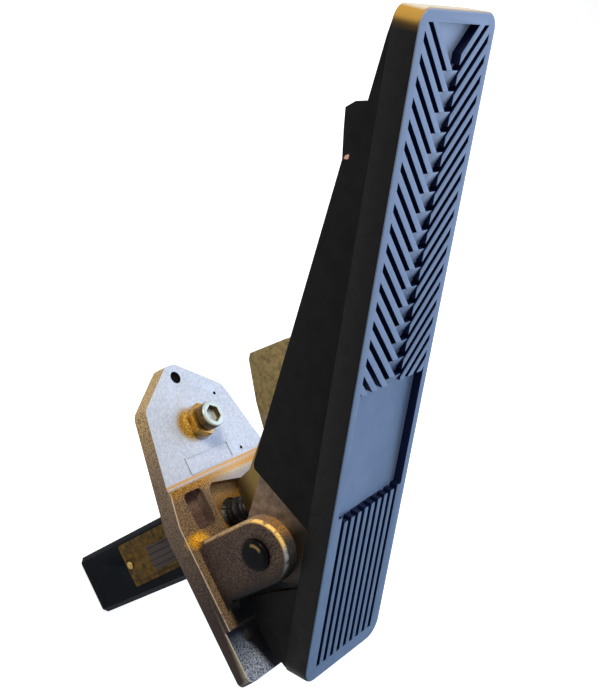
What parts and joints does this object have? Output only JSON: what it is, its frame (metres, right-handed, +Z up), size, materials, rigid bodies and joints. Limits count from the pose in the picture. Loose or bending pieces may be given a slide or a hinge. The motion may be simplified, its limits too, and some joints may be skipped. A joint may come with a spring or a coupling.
{
  "type": "excavator travel pedal",
  "caption": "Foot pedal valve for an excavator's travel drive: a rubber treadle hinged on a cast flange over a hydraulic pilot valve.",
  "frame": {"origin": "midway between the two heel bolt holes, on the flange's mounting face", "axes": "+X along the flange from the heel to the toe, +Y along the hinge pin toward its head, +Z up out of the cab floor"},
  "size_m": [0.2453, 0.0956, 0.3564],
  "materials": {
    "cast_alloy": "satin",
    "body_paint": "satin",
    "brass_plate": "satin",
    "rivet_alloy": "satin",
    "black_steel": "satin",
    "bronze": "machined",
    "lever_casting": "as cast",
    "black_paint": "satin",
    "tread_rubber": "moulded",
    "zinc_steel": "zinc plated",
    "ground_steel": "ground",
    "black_rubber": "moulded",
    "spring_steel": "drawn wire",
    "gasket_fibre": "matte"
  },
  "bodies": {
    "base": {"mounting_flange": "cast_alloy", "valve_body": "body_paint", "nameplate": "brass_plate", "nameplate_rivets": "rivet_alloy", "hinge_pin": "black_steel", "pin_circlip": "black_steel", "stop_screw": "zinc_steel", "stop_screw_nut": "zinc_steel", "plunger_boot": "black_rubber", "plunger_guide": "bronze", "wiper_seal": "black_rubber", "guide_o_ring": "black_rubber", "return_spring": "spring_steel", "control_spring": "spring_steel", "body_screws": "zinc_steel", "body_gasket": "gasket_fibre"},
    "pedal": {"pedal_lever": "lever_casting", "hinge_bush_near": "bronze", "hinge_bush_far": "bronze", "treadle": "black_paint", "tread_pad": "tread_rubber", "treadle_screws": "zinc_steel"},
    "plunger_body": {"plunger": "ground_steel", "spring_seat": "ground_steel"},
    "spool_body": {"control_spool": "ground_steel"}
  },
  "joints": [
    {"name": "pedal_pivot", "type": "hinge", "parent": "base", "child": "pedal", "pos_m": [0.036, 0, 0.046], "axis": [0, 1, 0], "range_deg": [0, 26.8], "stiffness_Nm_per_rad": 25, "springref_deg": -17.19},
    {"name": "plunger_slide", "type": "slide", "parent": "base", "child": "plunger_body", "axis": [0, 0, -1], "range_m": [0, 0.0104], "deforming": ["plunger_boot", "return_spring", "control_spring"]},
    {"name": "spool_slide", "type": "slide", "parent": "base", "child": "spool_body", "axis": [0, 0, -1], "range_m": [0, 0.0018]}
  ],
  "couplings": [
    {"joint": "plunger_slide", "follows": "pedal_pivot", "m_per_rad": 0.022},
    {"joint": "spool_slide", "follows": "pedal_pivot", "m_per_rad": 0.00367}
  ]
}
